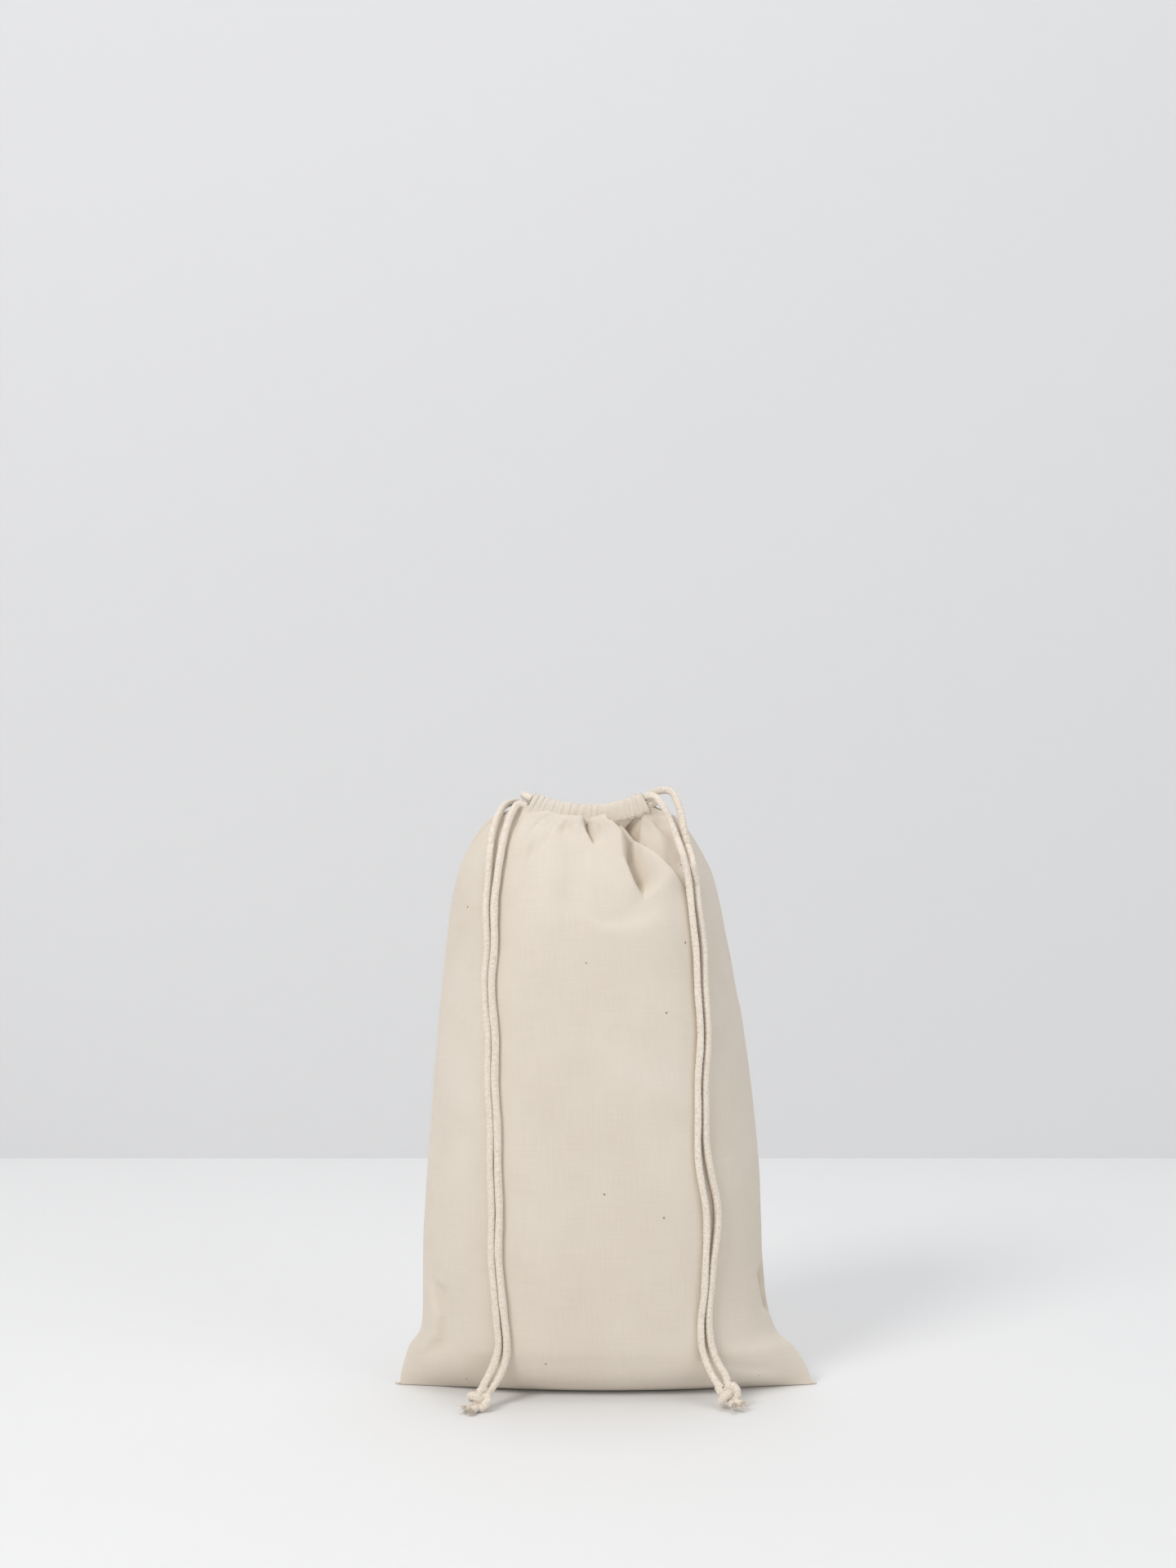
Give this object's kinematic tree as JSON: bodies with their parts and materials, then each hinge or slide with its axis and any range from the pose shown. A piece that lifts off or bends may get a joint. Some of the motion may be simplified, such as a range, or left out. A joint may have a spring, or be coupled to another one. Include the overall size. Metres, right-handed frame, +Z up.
{
  "type": "drawstring knitting bag",
  "caption": "Small drawstring project bag in natural unbleached cotton, standing filled with its neck drawn in, with a pair of knotted cotton cords at each side.",
  "frame": {"origin": "on the floor under the middle of the bag's bounding box, midway between the ear tips and between front and back, measured without the hanging cords and knots", "axes": "+Z up along the standing bag, -Y towards the front where the cords hang, +X to the right as seen from the front"},
  "size_m": [0.1986, 0.0948, 0.281],
  "materials": {
    "calico": "matt plain weave",
    "hem_cloth": "matt plain weave, folded double",
    "thread": "matt spun thread",
    "cord_cotton": "matt knitted cotton cord"
  },
  "bodies": {
    "bag": {"front_panel": "calico", "back_panel": "calico", "left_seam_allowance": "hem_cloth", "right_seam_allowance": "hem_cloth", "bottom_seam_allowance": "hem_cloth", "left_seam_stitches": "thread", "right_seam_stitches": "thread", "bottom_seam_stitches": "thread", "front_casing": "hem_cloth", "front_hem_stitches": "thread", "left_cord_front_run": "cord_cotton", "left_cord_bight": "cord_cotton", "right_cord_front_run": "cord_cotton", "right_cord_bight": "cord_cotton", "left_back_exit": "cord_cotton", "right_back_exit": "cord_cotton", "left_front_strand": "cord_cotton", "left_back_strand": "cord_cotton", "right_front_strand": "cord_cotton", "right_back_strand": "cord_cotton"},
    "back_lip": {"back_neck": "calico", "back_casing": "hem_cloth", "back_hem_stitches": "thread", "left_cord_back_run": "cord_cotton", "right_cord_back_run": "cord_cotton"},
    "left_knot_body": {"left_knot": "cord_cotton", "left_cord_tips": "cord_cotton"},
    "right_knot_body": {"right_knot": "cord_cotton", "right_cord_tips": "cord_cotton"}
  },
  "joints": [
    {"name": "mouth_open", "type": "hinge", "parent": "bag", "child": "back_lip", "pos_m": [0, 0.033, 0.235], "axis": [-1, 0, 0], "range_deg": [0, 60]},
    {"name": "left_cord_draw", "type": "slide", "parent": "bag", "child": "left_knot_body", "axis": [0, 0, 1], "range_m": [0, 0.05], "deforming": ["left_front_strand", "left_back_strand"]},
    {"name": "right_cord_draw", "type": "slide", "parent": "bag", "child": "right_knot_body", "axis": [0, 0, 1], "range_m": [0, 0.05], "deforming": ["right_front_strand", "right_back_strand"]}
  ],
  "couplings": [
    {"joint": "left_cord_draw", "follows": "mouth_open", "m_per_rad": 0.0477},
    {"joint": "right_cord_draw", "follows": "mouth_open", "m_per_rad": 0.0477}
  ]
}
